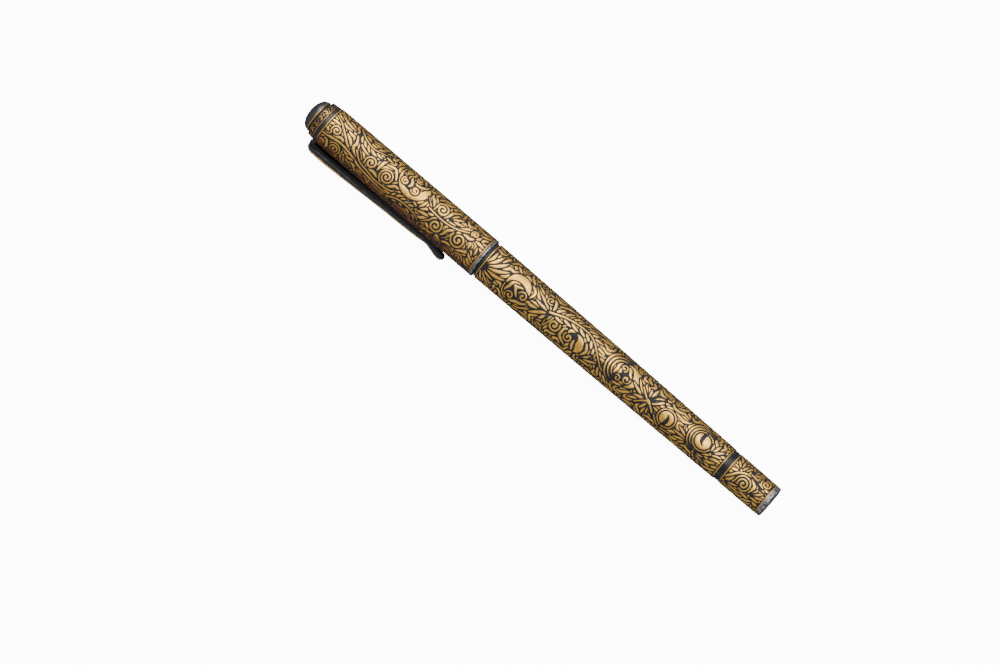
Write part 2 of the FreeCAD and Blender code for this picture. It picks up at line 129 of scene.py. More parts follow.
class Nodes:
    """A short way to write a material's nodes: each method adds one and returns its output."""

    def __init__(self, name):
        self.material = bpy.data.materials.new(name)
        self.material.use_nodes = True
        self.tree = self.material.node_tree
        self.shader = self.tree.nodes["Principled BSDF"]
        self.place = self.add("ShaderNodeTexCoord").outputs["Object"]

    def add(self, kind, settings=None, **inputs):
        node = self.tree.nodes.new(kind)
        for name, setting in (settings or {}).items():
            setattr(node, name, setting)
        for name, source in inputs.items():
            self.feed(node.inputs[name.replace("_", " ")], source)
        return node

    def feed(self, socket, source):
        """Links an output to a socket, or sets the socket to a number or a colour."""
        if isinstance(source, bpy.types.NodeSocket):
            self.tree.links.new(source, socket)
        elif isinstance(source, (int, float)):
            socket.default_value = source
        else:
            socket.default_value = (*source, 1.0)

    def noise(self, size, detail=3.0, rough=0.55, stretch=None):
        """Noise whose features are about size metres wide, drawn out along X if stretch says so."""
        place = self.place
        if stretch:
            mapping = self.add("ShaderNodeMapping", Vector=place)
            mapping.inputs["Scale"].default_value = stretch
            place = mapping.outputs["Vector"]
        node = self.add("ShaderNodeTexNoise", Vector=place, Scale=1 / size, Detail=detail, Roughness=rough)
        return node.outputs["Fac"]

    def attribute(self, name):
        return self.add("ShaderNodeAttribute", {"attribute_name": name}).outputs["Fac"]

    def remap(self, value, low, high, to_low=0.0, to_high=1.0):
        node = self.add("ShaderNodeMapRange", {"interpolation_type": "SMOOTHSTEP"}, Value=value)
        node.inputs["From Min"].default_value = low
        node.inputs["From Max"].default_value = high
        node.inputs["To Min"].default_value = to_low
        node.inputs["To Max"].default_value = to_high
        return node.outputs["Result"]

    def sum(self, operation, first, second):
        node = self.add("ShaderNodeMath", {"operation": operation})
        self.feed(node.inputs[0], first)
        self.feed(node.inputs[1], second)
        return node.outputs["Value"]

    def mix(self, factor, first, second, kind="RGBA"):
        """A blend of two colours, or of two numbers if kind is FLOAT."""
        node = self.add("ShaderNodeMix", {"data_type": kind})
        factor_in, first_in, second_in = [socket for socket in node.inputs if socket.enabled]
        self.feed(factor_in, factor)
        self.feed(first_in, first)
        self.feed(second_in, second)
        return next(socket for socket in node.outputs if socket.enabled)

    def bump(self, height, strength, distance):
        node = self.add("ShaderNodeBump", Height=height, Strength=strength, Distance=distance)
        return node.outputs["Normal"]

    def finish(self, **inputs):
        for name, source in inputs.items():
            self.feed(self.shader.inputs[name.replace("_", " ")], source)
        return self.material


def gilt_material(colours):
    """Gold scrolls on a blackened ground: the mesh's gilding attribute says which is where, and a second
    attribute how far the gold is tinted dark reddish brown: painted shade beside the clip on the cap, an
    even tint on the crown ring."""
    n = Nodes("engraved_gilt")
    ragged = n.sum("MULTIPLY", n.sum("SUBTRACT", n.noise(0.22 * MM, 2.0), 0.5), 0.10)
    rubbed = n.remap(n.noise(2.4 * MM, 5.0, 0.65), 0.58, 0.74, 0.0, 0.22 * colours.wear)
    edge = n.sum("SUBTRACT", n.sum("ADD", n.attribute("gilding"), ragged), rubbed)
    gold_here = n.remap(edge, 0.025, 0.055)
    broad = n.remap(n.attribute("gilding"), 0.02, 0.20)
    patchy = n.remap(n.noise(1.3 * MM, 4.0), 0.36, 0.64)
    gold = n.mix(n.sum("MULTIPLY", broad, patchy), tuple(colours.gold_deep), tuple(colours.gold))
    # Painted shade: the gold beside the clip goes dark reddish brown, broken up by noise.
    shade_and_tint_share = n.sum("MULTIPLY", n.attribute("shade_and_copper_tint"), n.remap(n.noise(1.1 * MM, 3.0), 0.26, 0.52))
    gold = n.mix(shade_and_tint_share, gold, tuple(colours.shade_and_copper_tint))
    worn = n.remap(n.noise(1.6 * MM, 6.0, 0.7), 0.50, 0.72, 0.0, colours.wear)
    ground = n.mix(worn, tuple(colours.ground), tuple(colours.ground_worn))
    grain = n.noise(0.12 * MM, 3.0, 0.6)
    rough_gold = n.remap(n.noise(0.7 * MM, 4.0), 0.3, 0.7, 0.34, 0.48)
    rough_ground = n.remap(grain, 0.3, 0.7, 0.42, 0.66)
    rough = n.mix(gold_here, rough_ground, rough_gold, "FLOAT")
    return n.finish(Base_Color=n.mix(gold_here, ground, gold), Metallic=gold_here,
                    Specular_IOR_Level=0.22, Roughness=rough,
                    Normal=n.bump(grain, 0.25, 0.02 * MM))


def silver_material(colours):
    """Plated bands, scratched round the pen and stained dark in patches."""
    n = Nodes("stained_silver")
    stain = n.remap(n.noise(0.8 * MM, 6.0, 0.75), 0.44, 0.58, 0.0, 0.9)
    scratch = n.noise(0.35 * MM, 3.0, 0.6, stretch=(6.0, 0.8, 0.8))
    tone = n.mix(stain, tuple(colours.silver), (0.045, 0.044, 0.044))
    return n.finish(Base_Color=tone, Metallic=0.95, Roughness=n.remap(scratch, 0.3, 0.7, 0.30, 0.55),
                    Normal=n.bump(scratch, 0.35, 0.03 * MM))


def lacquer_material(name, colours, gilded):
    """Black lacquered steel, rubbed grey in places. A gilded piece has gold where its attribute says so."""
    n = Nodes(name)
    rubbed = n.remap(n.noise(1.0 * MM, 6.0, 0.72), 0.52, 0.76, 0.0, colours.wear)
    tone = n.mix(rubbed, tuple(colours.lacquer), (0.15, 0.15, 0.155))
    grain = n.noise(0.18 * MM, 4.0, 0.6)
    metal = n.remap(rubbed, 0.0, 1.0, 0.1, 0.7)
    if gilded:
        broken = n.sum("MULTIPLY", n.sum("SUBTRACT", n.noise(1.8 * MM, 4.0, 0.6), 0.47), 0.55)
        gilt = n.remap(n.sum("SUBTRACT", n.attribute("gilding"), broken), -0.01, 0.04)
        tone = n.mix(gilt, tone, tuple(colours.gold))
        metal = n.mix(gilt, metal, 1.0, "FLOAT")
    return n.finish(Base_Color=tone, Metallic=metal, Roughness=n.remap(grain, 0.3, 0.7, 0.26, 0.46),
                    Normal=n.bump(grain, 0.3, 0.02 * MM))


def rubber_material():
    """Turned and polished hard rubber, with faint lathe rings."""
    n = Nodes("turned_rubber")
    rings = n.noise(0.3 * MM, 2.0, 0.5, stretch=(3.0, 0.1, 0.1))
    tone = n.mix(n.remap(n.noise(2.5 * MM, 4.0), 0.4, 0.7), (0.008, 0.008, 0.009), (0.022, 0.020, 0.018))
    return n.finish(Base_Color=tone, Roughness=n.remap(rings, 0.3, 0.7, 0.30, 0.46), Specular_IOR_Level=0.25,
                    Normal=n.bump(rings, 0.12, 0.02 * MM))


def metal_material(name, tone, dark, rough_low, rough_high):
    """Drawn or ground metal: fine lines along the pen, with darker handling marks."""
    n = Nodes(name)
    lines = n.noise(0.25 * MM, 3.0, 0.6, stretch=(0.08, 2.0, 2.0))
    marks = n.remap(n.noise(1.8 * MM, 5.0, 0.65), 0.5, 0.75, 0.0, 0.6)
    return n.finish(Base_Color=n.mix(marks, tone, dark), Metallic=1.0,
                    Roughness=n.remap(lines, 0.3, 0.7, rough_low, rough_high),
                    Normal=n.bump(lines, 0.2, 0.01 * MM))


def paper_material(tone, glow):
    """Smooth white paper, lit from below as on a light table."""
    n = Nodes("white_paper")
    fibre = n.noise(1.2 * MM, 2.0)
    return n.finish(Base_Color=tone, Roughness=0.9, Normal=n.bump(fibre, 0.02, 0.02 * MM),
                    Emission_Color=tone, Emission_Strength=glow)


def make_materials(colours):
    """Makes the object's materials, which its pieces find by name."""
    gilt_material(colours)
    silver_material(colours)
    lacquer_material("gilded_lacquer", colours, True)
    lacquer_material("black_lacquer", colours, False)
    metal_material("rubbed_steel", (0.075, 0.075, 0.082), (0.015, 0.015, 0.017), 0.32, 0.52)
    rubber_material()
    metal_material("drawn_brass", (0.70, 0.50, 0.22), (0.36, 0.22, 0.09), 0.22, 0.40)
    metal_material("ground_steel", (0.50, 0.51, 0.53), (0.22, 0.22, 0.24), 0.20, 0.38)


# ---------------------------------------------------------------- drawing on a rolled-out sleeve

def smooth(points, step=0.22):
    """Closely spaced places on a smooth curve through the given ones."""
    p = np.array(points, float)
    p = np.vstack([2 * p[0] - p[1], p, 2 * p[-1] - p[-2]])
    out = []
    for a, b, c, d in zip(p[:-3], p[1:-2], p[2:-1], p[3:]):
        count = max(2, int(np.hypot(*(c - b)) / step))
        t = np.linspace(0, 1, count, endpoint=False)[:, None]
        out.append(0.5 * (2 * b + (c - a) * t + (2 * a - 5 * b + 4 * c - d) * t ** 2
                          + (3 * b - a - 3 * c + d) * t ** 3))
    return np.vstack([*out, p[-2:-1]])


def heading(degrees):
    return np.array([math.cos(math.radians(degrees)), math.sin(math.radians(degrees))])


class Engraving:
    """The gilding of one sleeve as a field over u and v: millimetres inside a gold stroke above zero,
    and outside one below. v wraps round the sleeve."""

    FAR = 1.5

    def __init__(self, run, radius, cut, pitch=0.09):
        self.run = run
        self.turn = 2 * math.pi * radius
        self.cut = cut
        self.u_step = run / round(run / pitch)
        self.v_step = self.turn / round(self.turn / pitch)
        self.rows = round(run / self.u_step) + 1
        self.columns = round(self.turn / self.v_step)
        self.field = np.full((self.rows, self.columns), -self.FAR)
        self.bare = np.zeros((self.rows, self.columns), bool)

    def window(self, low, high):
        """Row and column numbers of a box, columns wrapped, and the u and v of each."""
        first_row = max(0, int(low[0] / self.u_step))
        last_row = min(self.rows - 1, int(high[0] / self.u_step) + 1)
        first = math.floor(low[1] / self.v_step)
        last = min(math.ceil(high[1] / self.v_step), first + self.columns - 1)
        rows = np.arange(first_row, last_row + 1)
        columns = np.arange(first, last + 1)
        return rows, columns, rows * self.u_step, columns * self.v_step

    def distance(self, path, widths):
        """Depth inside a stroke along a path whose half width changes along it."""
        reach = self.FAR + max(widths)
        rows, columns, u, v = self.window(path.min(0) - reach, path.max(0) + reach)
        depth = np.full((len(rows), len(columns)), -self.FAR)
        if not len(rows):
            return rows, columns, depth
        for a, b, wide_a, wide_b in zip(path[:-1], path[1:], widths[:-1], widths[1:]):
            near = self.FAR + max(wide_a, wide_b)
            low = np.minimum(a, b) - near
            high = np.maximum(a, b) + near
            i = slice(*np.searchsorted(u, [low[0], high[0]]))
            j = slice(*np.searchsorted(v, [low[1], high[1]]))
            along = b - a
            du = u[i, None] - a[0]
            dv = v[None, j] - a[1]
            t = np.clip((du * along[0] + dv * along[1]) / max(along @ along, 1e-9), 0, 1)
            gap = np.hypot(du - t * along[0], dv - t * along[1])
            depth[i, j] = np.maximum(depth[i, j], wide_a + (wide_b - wide_a) * t - gap)
        return rows, columns, depth

    def stroke(self, path, widths, cut=None):
        """Lays a gold stroke over what is there, with a line of ground round it."""
        rows, columns, depth = self.distance(path, widths)
        here = np.ix_(rows, columns % self.columns)
        below = np.minimum(self.field[here], -(depth + (self.cut if cut is None else cut)))
        self.field[here] = np.maximum(below, depth)

    def carve(self, path, widths):
        """Cuts a stroke of ground out of the gold, which stays bare."""
        rows, columns, depth = self.distance(path, widths)
        here = np.ix_(rows, columns % self.columns)
        self.field[here] = np.minimum(self.field[here], -depth)
        self.bare[here] |= depth > -0.1

    def at(self, u, v):
        """The field at any places, between its grid points."""
        row = np.clip(u / self.u_step, 0, self.rows - 1.001)
        column = v / self.v_step
        i = np.floor(row).astype(int)
        j = np.floor(column).astype(int)
        across, round_ = row - i, column - j
        left, right = j % self.columns, (j + 1) % self.columns
        top = self.field[i, left] * (1 - round_) + self.field[i, right] * round_
        low = self.field[i + 1, left] * (1 - round_) + self.field[i + 1, right] * round_
        return top * (1 - across) + low * across

    # strokes with a name

    def stem(self, points, start=0.16, end=0.22):
        path = smooth(points)
        self.stroke(path, np.linspace(start, end, len(path)))

    def leaf(self, base, angle, long, wide, bend=30):
        """A lobe that swells, then tapers to its tip, curling more and more by so many degrees in all."""
        t = np.linspace(0, 1, 14)
        course = np.radians(angle + bend * t ** 1.6)
        steps = long / 13 * np.stack([np.cos(course), np.sin(course)], 1)
        path = np.array(base) + np.vstack([(0, 0), np.cumsum(steps[:-1], 0)])
        self.stroke(path, 0.05 + (wide / 2 - 0.05) * np.sin(np.pi * (0.06 + 0.92 * t) ** 1.15) ** 0.8)

    def spray(self, base, angle, spread, count, long, wide=0.62, bend=20, lean=0):
        """Leaves that fan out from one place, the middle ones longest, all leaning by so many degrees."""
        for k in range(count):
            side = (2 * k - count + 1) / max(count - 1, 1)
            reach = long * (1 - 0.28 * side * side)
            start = np.array(base) + 0.5 * heading(angle + side * spread / 2)
            self.leaf(start, angle + side * spread / 2, reach, wide, bend * side + lean)
        self.stroke(np.array([base, base]) + 0.3 * heading(angle), [0.3, 0.3], 0.1)

    def volute(self, centre, radius, start, hand=1, turns=None, wide=0.25, stem=()):
        """A stem that curls inwards to a round eye. hand 1 curls from u towards v."""
        turns = turns or max(0.85, (radius - 0.35) / 0.86)
        t = np.linspace(0, 1, int(26 * turns) + 2)
        spread = 0.22 + (radius - 0.22) * (1 - t) ** 0.86
        angle = math.radians(start) + hand * 2 * math.pi * turns * t
        curl = np.array(centre) + spread[:, None] * np.stack([np.cos(angle), np.sin(angle)], 1)
        widths = wide * (0.82 + 0.3 * t)
        if len(stem):
            root = smooth([*stem, curl[0]])
            curl = np.vstack([root[:-1], curl])
            widths = np.concatenate([np.linspace(0.08, widths[0], len(root) - 1), widths])
        widths[-3:] = wide * np.array([1.2, 1.4, 1.5])
        self.stroke(curl, widths)

    def hollow(self, points, reach):
        """A broad patch of bare ground, for the curls inside a crescent to stand in."""
        path = smooth(points, 0.12)
        self.carve(path, np.full(len(path), reach))

    def crescent(self, centre, radius, start, sweep, thin, thick, late=0.5):
        """An arc that swells: thick at the share late of its course, thin at both ends."""
        t = np.linspace(0, 1, 26)
        angle = np.radians(start + sweep * t)
        path = np.array(centre) + radius * np.stack([np.cos(angle), np.sin(angle)], 1)
        bulge = np.where(t < late, t / late, (1 - t) / (1 - late))
        self.stroke(path, thin + (thick - thin) * np.sin(bulge * math.pi / 2) ** 1.5)

    def medallion(self, centre, radius, tilt=0):
        """A ring round a disc that a comma of ground curls into."""
        centre = np.array(centre)
        around = np.radians(np.linspace(0, 360, 33))
        circle = np.stack([np.cos(around), np.sin(around)], 1)
        self.stroke(centre + radius * circle, np.full(33, 0.15))
        disc = radius - 0.52
        self.stroke(np.array([centre, centre + 0.01]), [disc, disc], cut=0.0)
        path = smooth([centre + r * disc * heading(tilt + a)
                       for r, a in ((1.15, 78), (0.72, 62), (0.30, 30), (0.22, -70), (0.50, -120))], 0.12)
        t = np.linspace(0, 1, len(path))
        self.carve(path, 0.12 + 0.36 * np.sin(np.pi * (0.15 + 0.8 * t)) ** 1.5)

    def feather(self, points, count, long, wide=0.62, lean=42, sides=(-1, 1)):
        """A stem with lobes along it that lean forwards."""
        path = smooth(points, 0.1)
        for k in range(count):
            at = int((k + 0.6) / count * (len(path) - 2))
            along = path[at + 1] - path[at]
            course = math.degrees(math.atan2(along[1], along[0]))
            for side in sides:
                self.leaf(path[at] + 0.2 * heading(course + side * 90), course + side * lean, long, wide,
                          -side * 30)
        self.stroke(path, np.linspace(0.24, 0.12, len(path)))

    def scroll_band(self, v, period, swing, radius):
        """A running scroll: a wavy stem with a volute and leaves in each of its bends."""
        bends = int(self.run / period)
        for k in range(bends):
            u = (k + 0.5) * self.run / bends
            side = 1 if k % 2 else -1
            root = [(u - period * 0.55, v + side * swing),
                    (u - period * 0.1, v + side * (swing + radius * 0.5))]
            self.volute((u, v + side * swing * 0.1), radius, 90 * side, side, 1.7, 0.23, root)
            self.spray((u + radius * 0.9, v - side * swing), -side * 60, 70, 3, 2.0, 0.5)

    def edging(self):
        """A plain line of gold along each end."""
        u = np.arange(self.rows)[:, None] * self.u_step
        depth = 0.15 - np.minimum(np.abs(u - 0.17), np.abs(u - self.run + 0.17))
        self.field = np.maximum(np.minimum(self.field, -(depth + 0.17)), depth)

    def follow(self, here, course, steps):
        """A path from a place that keeps to the middle of the bare ground."""
        path = []
        for _ in range(steps):
            courses = course + np.radians((-39, -26, -13, 0, 13, 26, 39))
            ahead = here + 0.15 * np.stack([np.cos(courses), np.sin(courses)], 1)
            clear = self.at(ahead[:, 0], ahead[:, 1])
            best = int(np.argmin(clear))
            if clear[best] > -0.20 or not 0.5 < ahead[best, 0] < self.run - 0.5:
                break
            here, course = ahead[best], courses[best]
            path.append(here)
        return path

    def fill(self, chance, least=0.31, most=900):
        """Lays strokes along the widest stretches of bare ground until only cut lines are left."""
        margin = int(0.6 / self.u_step)
        done = self.bare.astype(float)
        done[:margin] = done[-margin:] = 1
        for _ in range(most):
            i, j = divmod(int(np.argmin(self.field + 2 * done)), self.columns)
            if self.field[i, j] > -least or done[i, j]:
                break
            here = np.array([i * self.u_step, j * self.v_step])
            headings = np.radians(np.arange(0, 360, 15))
            reach = np.arange(0.15, 2.6, 0.15)[:, None]
            rays = self.at(here[0] + reach * np.cos(headings), here[1] + reach * np.sin(headings)) < -0.2
            clear = np.where(rays.all(0), len(reach), np.argmin(rays, 0))
            course = headings[int(np.argmax(clear[:12] + clear[12:]))]
            steps = chance.randint(9, 20)
            behind = self.follow(here, course + math.pi, steps)
            path = [*behind[::-1], here, *self.follow(here, course, steps)]
            near = 2
            done[max(0, i - near):i + near + 1, np.arange(j - near, j + near + 1) % self.columns] = 1
            if len(path) < 5:
                continue
            path = np.array(path)
            for _ in range(6):
                path[1:-1] = (path[:-2] + 2 * path[1:-1] + path[2:]) / 4
            t = np.linspace(0, 1, len(path))
            room = -self.at(path[:, 0], path[:, 1]) - self.cut * 0.62
            room = np.convolve(np.pad(np.clip(room, 0.05, 0.36), 2, "edge"), np.full(5, 0.2), "valid")
            heft = room * np.sin(np.pi * (0.08 + 0.86 * t)) ** 0.6
            self.stroke(path, heft, self.cut * 0.5)

def draw_cap(e):
    """The cap's scrolls, from the crown end to the lip."""
    e.stem([(-0.3, -3.9), (2.2, -2.9), (4.7, -1.1), (7.0, 0.7), (9.7, 2.1)], 0.14, 0.30)
    e.stem([(-0.3, 2.3), (2.4, 1.9), (6.0, 1.5), (9.7, 2.2), (13.2, 3.2), (20.3, 4.0), (29.0, 4.9)],
           0.30, 0.20)
    e.volute((2.9, -0.2), 1.35, 120, 1, 1.5, 0.22, [(0.3, 1.5), (1.6, 1.5)])
    e.volute((5.0, 3.9), 1.75, 200, 1, 2.1, 0.20)
    e.spray((7.4, 3.3), 25, 60, 3, 3.6, 0.60)
    e.crescent((12.3, -5.4), 4.6, 175, -160, 0.10, 0.28)
    e.feather([(7.2, -5.2), (9.6, -3.6), (12.6, -2.9), (16.6, -4.2)], 4, 2.4, 0.62, 35)
    e.volute((14.0, 0.3), 1.55, 150, 1, 1.6, 0.24, [(9.9, -0.6), (11.3, 0.6), (12.3, 1.9)])
    e.volute((19.0, 0.5), 1.95, 100, 1, 2.2, 0.21, [(14.9, 2.3), (16.9, 2.7)])
    e.stem([(9.5, 0.2), (11.8, 1.9), (14.6, 2.5), (17.6, 3.0), (21.4, 2.5), (24.0, 1.0), (26.9, 0.6),
            (29.8, 1.2), (32.2, -0.4), (34.2, -2.2)], 0.18, 0.24)
    e.crescent((25.0, -3.7), 3.9, 205, -215, 0.14, 0.95, 0.86)
    e.volute((22.9, -1.9), 1.0, 250, -1, 1.2, 0.22)
    e.volute((26.2, -1.5), 1.05, 150, -1, 1.2, 0.24)
    e.volute((22.6, -4.7), 0.85, 100, 1, 1.1, 0.22)
    e.volute((25.5, -4.6), 0.95, 20, 1, 1.2, 0.24)
    e.feather([(21.4, 4.4), (24.2, 2.9), (28.6, 2.8), (31.8, 4.1)], 5, 1.9, 0.52, 38)
    e.spray((28.9, 2.0), -42, 46, 3, 4.6, 0.66)
    e.volute((34.1, -2.4), 1.65, 210, 1, 1.6, 0.26, [(29.6, -2.6), (31.4, -1.3), (32.3, -0.7)])
    e.volute((35.1, 1.75), 1.9, 190, 1, 1.8, 0.25, [(31.2, 3.4), (32.4, 2.4)])
    e.spray((36.3, -1.0), -32, 50, 4, 4.3, 0.62)
    e.volute((41.4, 0.9), 1.95, 200, -1, 1.7, 0.25, [(37.6, 3.3), (38.6, 2.4)])
    e.stem([(31.4, -0.6), (35.0, -0.3), (38.2, -0.6), (41.2, -1.7), (44.2, -3.6)], 0.20, 0.16)
    e.volute((43.7, -3.0), 0.95, 120, 1, 1.3, 0.22)
    e.volute((44.5, 0.1), 0.9, 160, 1, 1.2, 0.20)
    e.volute((43.8, 4.6), 1.5, 150, 1, 1.7, 0.22, [(38.9, 4.6), (41.0, 3.9)])
    e.spray((46.9, 2.2), -105, 60, 3, 2.7, 0.55)
    e.spray((38.6, 4.9), 170, 40, 3, 3.2, 0.5)


def draw_barrel(e):
    """The barrel's scrolls, from the lip to the knob."""
    e.spray((0.1, 1.6), -14, 104, 7, 6.4, 0.74, 6, -34)
    e.spray((0.1, 1.9), 38, 46, 3, 5.2, 0.5, 12)
    e.crescent((10.0, 0.9), 3.0, 172, 196, 0.16, 0.92, 0.52)
    e.stem([(6.9, 1.2), (7.4, 3.2), (9.6, 4.5), (12.2, 4.3), (14.3, 2.9), (17.2, 1.2), (20.0, -0.3)],
           0.14, 0.30)
    e.hollow([(9.0, 1.7), (11.9, 1.1)], 1.5)
    e.volute((9.4, 2.8), 1.05, 190, 1, 1.0, 0.19)
    e.volute((12.2, 1.1), 1.2, 190, 1, 1.1, 0.20)
    e.spray((19.8, -0.4), 158, 74, 4, 5.4, 0.74, 16)
    e.spray((19.8, -0.2), 206, 50, 3, 6.0, 0.60, -14)
    e.volute((18.0, -2.7), 1.0, 40, 1, 1.0, 0.19)
    e.volute((9.2, -4.9), 1.25, 90, 1, 1.6, 0.2)
    e.spray((13.2, -3.9), -12, 60, 3, 3.4, 0.5)
    e.volute((22.1, 1.3), 1.7, 230, 1, 1.6, 0.25, [(19.4, 0.0), (19.6, 1.8), (19.9, 3.2)])
    e.spray((16.8, 3.4), 20, 70, 4, 2.9, 0.5)
    e.feather([(19.4, -0.3), (23.7, -2.0), (28.1, -2.7), (31.4, -2.1), (35.4, 0.9), (37.2, 2.1),
               (41.4, 3.3)], 11, 2.9, 0.66, 40)
    e.crescent((28.0, 1.9), 1.9, 190, 215, 0.16, 1.0, 0.72)
    e.hollow([(26.4, 1.4), (27.4, 0.8)], 1.3)
    e.volute((26.4, 1.4), 1.2, 210, -1, 1.1, 0.21)
    e.spray((30.7, 4.2), -28, 30, 3, 5.0, 0.56)
    for reach, heft in ((4.3, 0.26), (3.45, 0.26), (2.6, 0.24)):
        e.crescent((41.2, -0.9), reach, 285, -178, 0.08, heft)
    e.crescent((42.6, -0.8), 2.7, 250, 175, 0.14, 0.95, 0.5)
    e.hollow([(41.0, -1.7), (42.9, -0.4), (41.5, 1.0)], 1.15)
    e.volute((41.2, -1.9), 0.95, 60, -1, 1.0, 0.18)
    e.volute((43.2, 0.1), 1.05, 330, 1, 1.0, 0.20)
    e.volute((41.2, 1.1), 0.85, 200, 1, 0.95, 0.17)
    e.volute((45.0, -5.0), 1.25, 80, 1, 1.6, 0.2)
    crossing = ((196, 46, 4, 5.6, 26), (160, 26, 3, 5.0, -22), (272, 40, 3, 3.7, 0),
                (325, 44, 4, 5.2, 30), (26, 34, 3, 4.4, -24), (90, 40, 3, 3.4, 0))
    for angle, spread, count, reach, lean in crossing:
        e.spray((50.5, 0.7), angle, spread, count, reach, 0.66, 8, lean)
    e.stem([(47.4, -1.5), (49.2, -0.1), (50.5, 0.7), (51.8, 0.2), (53.4, -1.6)], 0.16, 0.26)
    e.stem([(47.6, 2.9), (49.3, 1.2), (50.5, 0.7), (51.9, 1.5), (53.2, 2.6)], 0.16, 0.26)
    e.stroke(np.array([(50.2, 0.5), (50.9, 0.8)]), [0.42, 0.34], cut=0.0)
    e.medallion((56.2, 0.9), 2.3, 20)
    e.volute((56.6, -4.9), 1.3, 100, 1, 1.7, 0.2)
    e.stem([(53.2, 2.2), (55.4, 4.0), (58.5, 3.6), (61.7, 2.2), (65.2, 2.3), (68.9, 1.2), (71.2, -1.2),
            (73.2, -3.3)], 0.16, 0.26)
    e.spray((63.9, 1.6), 178, 74, 5, 4.5, 0.55, 14)
    for reach, heft in ((3.9, 0.24), (3.2, 0.22)):
        e.crescent((66.1, -0.7), reach, 300, -190, 0.07, heft)
    e.medallion((66.1, -0.7), 2.5, 190)
    e.spray((69.2, 0.9), -62, 66, 4, 3.6, 0.56)
    e.spray((65.4, 3.0), 24, 60, 4, 3.6, 0.5)


def draw_knob(e):
    """The knob's scrolls, from its dark ring to the end band."""
    e.stem([(-0.3, 3.0), (1.4, 1.0), (2.9, -0.9), (5.4, -1.9), (8.6, -1.2), (11.6, -0.3)], 0.30, 0.14)
    e.volute((5.0, 0.9), 2.1, 170, 1, 2.2, 0.21, [(0.8, 3.4), (2.2, 2.9)])
    e.volute((9.3, -2.9), 1.45, 100, 1, 1.7, 0.22, [(5.2, -2.6), (7.4, -1.9)])
    e.spray((2.8, -1.2), -118, 90, 4, 2.6, 0.55)
    e.spray((4.4, -2.3), -22, 40, 3, 3.6, 0.5)
    e.spray((7.4, 2.4), -35, 50, 4, 3.6, 0.55)
    e.spray((0.4, 3.4), 12, 50, 4, 5.0, 0.52)


def repeat_behind(draw, e):
    """Draws the scrolls, and again on the far side, turned end for end."""
    draw(e)
    v = (np.arange(e.columns) * e.v_step + e.turn / 2) % e.turn - e.turn / 2
    nearer = (np.abs(v) < e.turn / 4)[None, :]
    e.field = np.where(nearer, e.field, np.roll(e.field[::-1, ::-1], e.columns // 2, axis=1))
    e.bare = np.where(nearer, e.bare, np.roll(e.bare[::-1, ::-1], e.columns // 2, axis=1))


# ---------------------------------------------------------------- mesh pieces

def lathe(profile, steps, closed=True):
    """A bmesh turned from a half section: places (x, r), closed into a ring or ending on the axis."""
    bm = bmesh.new()
    points = [bm.verts.new((x, 0, r)) for x, r in profile]
    lines = [bm.edges.new(pair) for pair in zip(points[:-1], points[1:])]
    if closed:
        lines.append(bm.edges.new((points[-1], points[0])))
    bmesh.ops.spin(bm, geom=points + lines, cent=(0, 0, 0), axis=(1, 0, 0), angle=2 * math.pi, steps=steps,
                   use_merge=True, use_duplicate=False)
    bmesh.ops.remove_doubles(bm, verts=bm.verts, dist=1e-7)
    bmesh.ops.recalc_face_normals(bm, faces=bm.faces)
    return bm


def soften(bm, width, angle=35, segments=3):
    """Rounds every edge that is sharper than an angle."""
    sharp = [e for e in bm.edges if e.is_manifold and e.calc_face_angle(0) > math.radians(angle)]
    bmesh.ops.bevel(bm, geom=sharp, offset=width, offset_type="OFFSET", segments=segments, profile=0.5,
                    affect="EDGES", clamp_overlap=True, material=-1)


def add_piece(bm, name, body, finish, replaces=(), sharp=50):
    """Makes an object from a bmesh, riding on a CAD body."""
    mesh = bpy.data.meshes.new(name)
    bm.to_mesh(mesh)
    bm.free()
    mesh.shade_smooth()
    mesh.set_sharp_from_angle(angle=math.radians(sharp))
    mesh.materials.append(bpy.data.materials[finish])
    piece = bpy.data.objects.new(name, mesh)
    bpy.context.scene.collection.objects.link(piece)
    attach(piece, body)
    if replaces:
        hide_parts(*replaces)
    return piece


def set_attribute(mesh, name, values):
    layer = mesh.attributes.new(name, "FLOAT", "POINT")
    layer.data.foreach_set("value", np.asarray(values, np.float32))


def mesh_places(mesh):
    places = np.zeros(len(mesh.vertices) * 3)
    mesh.vertices.foreach_get("co", places)
    return places.reshape(-1, 3)


def engrave(piece, field, stations, settings, shade_and_copper_tint=False):
    """Raises the gold of a sleeve's outer face and tells its material where the gold is, and, when asked,
    where painted shade tints it beside the clip.
    """
    mesh = piece.data
    places = mesh_places(mesh)
    radius = np.hypot(places[:, 1], places[:, 2])
    angle = np.arctan2(places[:, 1], places[:, 2])
    u = (stations[-1][0] - places[:, 0]) / MM
    v = angle * field.turn / (2 * math.pi)
    gold = np.clip(field.at(u, v), -0.5, 0.6)
    outer = radius > np.interp(places[:, 0], *np.transpose(stations)) - 0.2 * MM
    rise = np.clip((gold + 0.05) / 0.13, 0, 1)
    rise = rise * rise * (3 - 2 * rise) - 1
    lift = settings.relief * rise + settings.crown * (np.clip(gold, 0, 0.45) / 0.45 - 1)
    scale = np.where(outer, 1 + lift / radius, 1)
    places[:, 1] *= scale
    places[:, 2] *= scale
    mesh.vertices.foreach_set("co", places.ravel())
    set_attribute(mesh, "gilding", np.where(outer, gold, -0.5))
    # Painted shade: full within 56 degrees of the clip side and gone by 84 degrees, for the shade under the
    # clip.
    beside = np.degrees(np.abs(angle - (math.pi / 2 + CLIP_DROOP)))
    set_attribute(mesh, "shade_and_copper_tint", np.clip((84 - beside) / 28, 0, 1) * shade_and_copper_tint)
    mesh.update()


